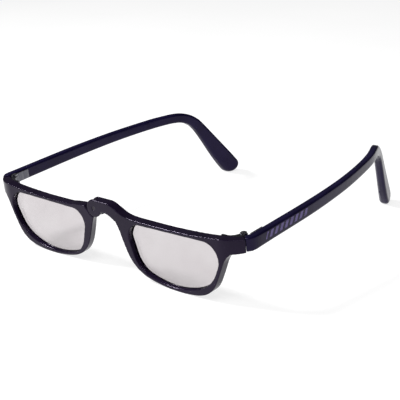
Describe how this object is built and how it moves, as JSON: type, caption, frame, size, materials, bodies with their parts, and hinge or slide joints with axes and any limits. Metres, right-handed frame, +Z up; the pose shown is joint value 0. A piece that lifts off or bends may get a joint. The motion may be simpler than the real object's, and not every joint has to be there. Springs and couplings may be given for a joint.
{
  "type": "folding reading glasses",
  "caption": "Half-eye reading glasses that fold in the middle: two rimmed halves on a pivot over the nose, with hinged one-piece temples.",
  "frame": {"origin": "on the surface the glasses stand on, under the middle of their length and width", "axes": "+X to the right seen from the front, -Y the way the lenses face, +Z up; open and standing on the rims and the temple tips"},
  "size_m": [0.141, 0.1408, 0.036],
  "materials": {
    "frame_plastic": "glossy moulded plastic, very dark navy",
    "lens": "clear, polished",
    "hinge_steel": "blackened, satin",
    "screw_steel": "dark nickel, polished",
    "washer_nylon": "natural nylon"
  },
  "bodies": {
    "left_half": {"left_front": "frame_plastic", "left_lens": "lens", "left_front_hinge_leaf": "hinge_steel", "left_front_leaf_pins": "hinge_steel", "left_hinge_screw": "screw_steel", "bridge_friction_washers": "washer_nylon"},
    "right_half": {"right_front": "frame_plastic", "right_lens": "lens", "right_front_hinge_leaf": "hinge_steel", "right_front_leaf_pins": "hinge_steel", "right_hinge_screw": "screw_steel", "bridge_rivet": "hinge_steel"},
    "left_temple_arm": {"left_temple": "frame_plastic", "left_temple_hinge_leaf": "hinge_steel", "left_temple_leaf_pins": "hinge_steel"},
    "right_temple_arm": {"right_temple": "frame_plastic", "right_temple_hinge_leaf": "hinge_steel", "right_temple_leaf_pins": "hinge_steel"}
  },
  "joints": [
    {"name": "bridge_fold", "type": "hinge", "parent": "left_half", "child": "right_half", "pos_m": [-0.0058, -0.06802, 0.02629], "axis": [0, -0.9969, -0.0785], "range_deg": [0, 130]},
    {"name": "left_temple_fold", "type": "hinge", "parent": "left_half", "child": "left_temple_arm", "pos_m": [-0.0646, -0.0618, 0.02568], "axis": [0, 0.0785, -0.9969], "range_deg": [0, 82]},
    {"name": "right_temple_fold", "type": "hinge", "parent": "right_half", "child": "right_temple_arm", "pos_m": [0.0646, -0.0618, 0.02568], "axis": [0, -0.0785, 0.9969], "range_deg": [0, 76]}
  ]
}
